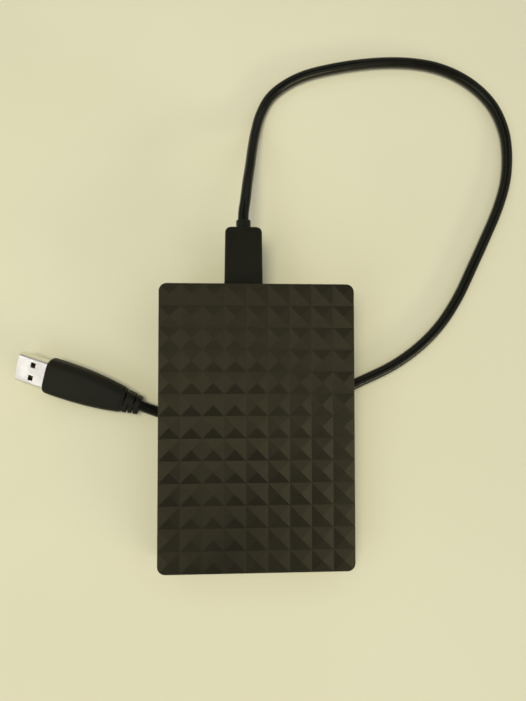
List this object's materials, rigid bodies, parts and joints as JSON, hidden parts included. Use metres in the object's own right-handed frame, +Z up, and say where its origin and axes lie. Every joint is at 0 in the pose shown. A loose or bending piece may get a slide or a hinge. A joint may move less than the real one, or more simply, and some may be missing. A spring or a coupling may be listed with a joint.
{
  "type": "external hard drive",
  "caption": "Flat black portable hard drive with a field of shallow pyramids on its lid, lying on its own short plugged-in data lead.",
  "frame": {"origin": "middle of the case's footprint, on the surface that it stands on; the lead is not counted", "axes": "+Y along the case to its port end, +X to its right seen from above with the port end away, +Z up; the case is tilted 4.46 degrees about X because it lies on its lead"},
  "size_m": [0.2243, 0.2326, 0.0234],
  "materials": {
    "case_black": "satin moulded plastic",
    "bumper_rubber": "matt",
    "clear_plastic": "frosted",
    "cast_aluminium": "bead blasted casting",
    "stamped_steel": "brushed",
    "screw_steel": "dark zinc",
    "turned_steel": "turned",
    "copper_wire": "enamelled winding",
    "plated_magnet": "nickel plated",
    "white_plastic": "satin",
    "circuit_board": "solder mask",
    "connector_black": "satin",
    "chip_black": "matt epoxy",
    "disc_mirror": "polished",
    "plug_steel": "bright tinned",
    "boot_black": "satin overmoulding",
    "lead_black": "satin jacket",
    "gold_contact": "gold plated"
  },
  "bodies": {
    "case": {"top_shell": "case_black", "bottom_shell": "case_black", "corner_bumpers": "bumper_rubber", "light_pipe": "clear_plastic", "base_casting": "cast_aluminium", "drive_cover": "stamped_steel", "cover_screws": "screw_steel", "motor_stator": "copper_wire", "pivot_post": "turned_steel", "lower_yoke": "turned_steel", "upper_yoke": "turned_steel", "lower_magnet": "plated_magnet", "upper_magnet": "plated_magnet", "ramp": "white_plastic", "crash_stop": "bumper_rubber", "drive_board": "circuit_board", "board_screws": "screw_steel", "sata_plug": "connector_black", "bridge_board": "circuit_board", "bridge_chips": "chip_black", "sata_socket": "connector_black", "port_shell": "plug_steel", "port_tongue": "connector_black", "microb_shell": "plug_steel", "microb_core": "connector_black", "microb_boot": "boot_black", "cable": "lead_black", "usb_a_boot": "boot_black", "usb_a_shell": "plug_steel", "usb_a_tongue": "connector_black", "usb_a_contacts": "gold_contact"},
    "spindle": {"spindle_hub": "turned_steel", "rotor_magnet": "plated_magnet", "platter": "disc_mirror", "disc_clamp": "turned_steel", "clamp_screw": "screw_steel"},
    "actuator": {"actuator_arm": "cast_aluminium", "head_suspensions": "turned_steel", "voice_coil": "copper_wire"}
  },
  "joints": [
    {"name": "spindle_spin", "type": "hinge", "parent": "case", "child": "spindle", "pos_m": [0, -0.01968, 0.01063], "axis": [0, -0.0777, 0.997], "continuous": true},
    {"name": "actuator_swing", "type": "hinge", "parent": "case", "child": "actuator", "pos_m": [-0.011, 0.02073, 0.01378], "axis": [0, 0.0777, -0.997], "range_deg": [0, 33]}
  ]
}
